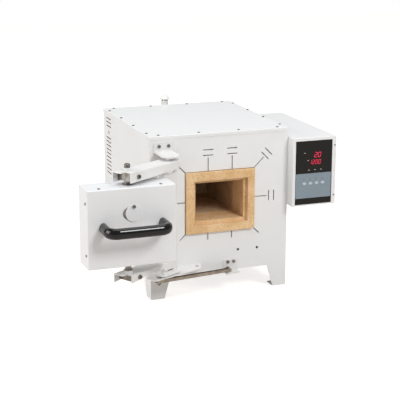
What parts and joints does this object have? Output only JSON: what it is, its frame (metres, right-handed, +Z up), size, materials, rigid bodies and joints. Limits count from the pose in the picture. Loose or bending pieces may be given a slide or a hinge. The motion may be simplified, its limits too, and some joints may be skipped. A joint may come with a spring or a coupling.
{
  "type": "muffle furnace",
  "caption": "Bench-top muffle furnace with a side-swung insulated door on a two-arm frame, a fibre-lined chamber and a digital controller box on its right side.",
  "frame": {"origin": "middle of the flat underside of the casing, one leg height above the bench", "axes": "+Z up, -Y out of the front panel towards the user, +X towards the controller box"},
  "size_m": [0.7151, 0.6893, 0.459],
  "materials": {
    "casing_paint": "satin powder coat, warm white",
    "frame_paint": "satin powder coat, cool white",
    "door_paint": "satin powder coat, warm white",
    "door_steel": "plain mill finish",
    "fibre_tan": "matt pressed fibre, heat stained",
    "fibre_white": "matt fibre board",
    "muffle_ceramic": "matt fired refractory, browned",
    "rod_carbide": "dull sintered",
    "probe_ceramic": "matt sintered",
    "plated_steel": "zinc plated",
    "door_pin_steel": "turned and plated",
    "screw_steel": "zinc plated",
    "flue_steel": "plain, slightly heat tinted",
    "bush_bronze": "plain bearing bronze",
    "handle_black": "gloss black",
    "window_black": "dark tinted, glossy",
    "keypad_grey": "satin blue grey foil",
    "button_grey": "satin blue grey",
    "board_green": "solder mask",
    "relay_aluminium": "extruded",
    "terminal_plastic": "satin",
    "gland_black": "satin black",
    "rocker_black": "gloss black",
    "sight_quartz": "clear polished"
  },
  "bodies": {
    "furnace": {"base_plate": "casing_paint", "bezel_screws": "screw_steel", "bracket_screws": "screw_steel", "cable_gland": "gland_black", "chamber_insulation": "fibre_white", "controller_bezel": "casing_paint", "controller_board": "board_green", "controller_housing": "casing_paint", "corner_legs": "casing_paint", "cover_screws": "screw_steel", "cradle_rails": "door_steel", "display_window": "window_black", "door_sensors": "gland_black", "fibre_collar": "fibre_tan", "flue_cap": "flue_steel", "flue_pipe": "flue_steel", "front_panel": "casing_paint", "heating_rods": "rod_carbide", "keypad": "keypad_grey", "left_side_panel": "casing_paint", "lower_hinge_pin": "plated_steel", "lower_hinge_plate": "frame_paint", "muffle": "muffle_ceramic", "power_relay": "relay_aluminium", "rear_insulation": "fibre_white", "rear_panel": "casing_paint", "right_side_panel": "casing_paint", "rocker_frame": "gland_black", "stay_bar": "frame_paint", "stay_bolts": "plated_steel", "stay_bracket": "frame_paint", "terminal_block": "terminal_plastic", "thermocouple": "probe_ceramic", "top_cover": "casing_paint", "upper_hinge_bracket": "frame_paint", "upper_hinge_pin": "plated_steel"},
    "swing_frame": {"upper_arm": "frame_paint", "upright": "frame_paint", "foot_plate": "frame_paint", "lower_arm": "frame_paint", "pin_blocks": "plated_steel", "clamp_screws": "screw_steel", "upper_door_pin": "door_pin_steel", "lower_door_pin": "door_pin_steel"},
    "door": {"door_shell": "door_paint", "door_back": "door_steel", "door_plug": "fibre_tan", "door_filling": "fibre_white", "door_bushes": "bush_bronze", "sight_tube": "door_steel", "sight_glass": "sight_quartz", "sight_cover_screw": "screw_steel", "handle": "handle_black", "door_screws": "screw_steel"},
    "sight_cover": {"sight_cover": "door_paint"},
    "button_set": {"button_set": "button_grey"},
    "button_shift": {"button_shift": "button_grey"},
    "button_down": {"button_down": "button_grey"},
    "button_up": {"button_up": "button_grey"},
    "rocker": {"rocker": "rocker_black"}
  },
  "joints": [
    {"name": "frame_hinge", "type": "hinge", "parent": "furnace", "child": "swing_frame", "pos_m": [-0.153, -0.2595, 0.189], "axis": [0, 0, 1], "range_deg": [0, 150.5]},
    {"name": "door_hinge", "type": "hinge", "parent": "swing_frame", "child": "door", "pos_m": [-0.28616, -0.33484, 0.189], "axis": [0, 0, 1], "range_deg": [-150.5, 0]},
    {"name": "sight_cover_hinge", "type": "hinge", "parent": "door", "child": "sight_cover", "pos_m": [-0.28216, -0.37269, 0.241], "axis": [0, 1, 0], "continuous": true},
    {"name": "rocker_hinge", "type": "hinge", "parent": "furnace", "child": "rocker", "pos_m": [0.311, 0.05, 0.203], "axis": [0, 1, 0], "range_deg": [-16, 0]},
    {"name": "button_set_press", "type": "slide", "parent": "furnace", "child": "button_set", "axis": [0, 1, 0], "range_m": [0, 0.0008], "stiffness_N_per_m": 1500, "springref_m": -0.0005},
    {"name": "button_shift_press", "type": "slide", "parent": "furnace", "child": "button_shift", "axis": [0, 1, 0], "range_m": [0, 0.0008], "stiffness_N_per_m": 1500, "springref_m": -0.0005},
    {"name": "button_down_press", "type": "slide", "parent": "furnace", "child": "button_down", "axis": [0, 1, 0], "range_m": [0, 0.0008], "stiffness_N_per_m": 1500, "springref_m": -0.0005},
    {"name": "button_up_press", "type": "slide", "parent": "furnace", "child": "button_up", "axis": [0, 1, 0], "range_m": [0, 0.0008], "stiffness_N_per_m": 1500, "springref_m": -0.0005}
  ],
  "couplings": [
    {"joint": "door_hinge", "follows": "frame_hinge", "ratio": -1}
  ]
}
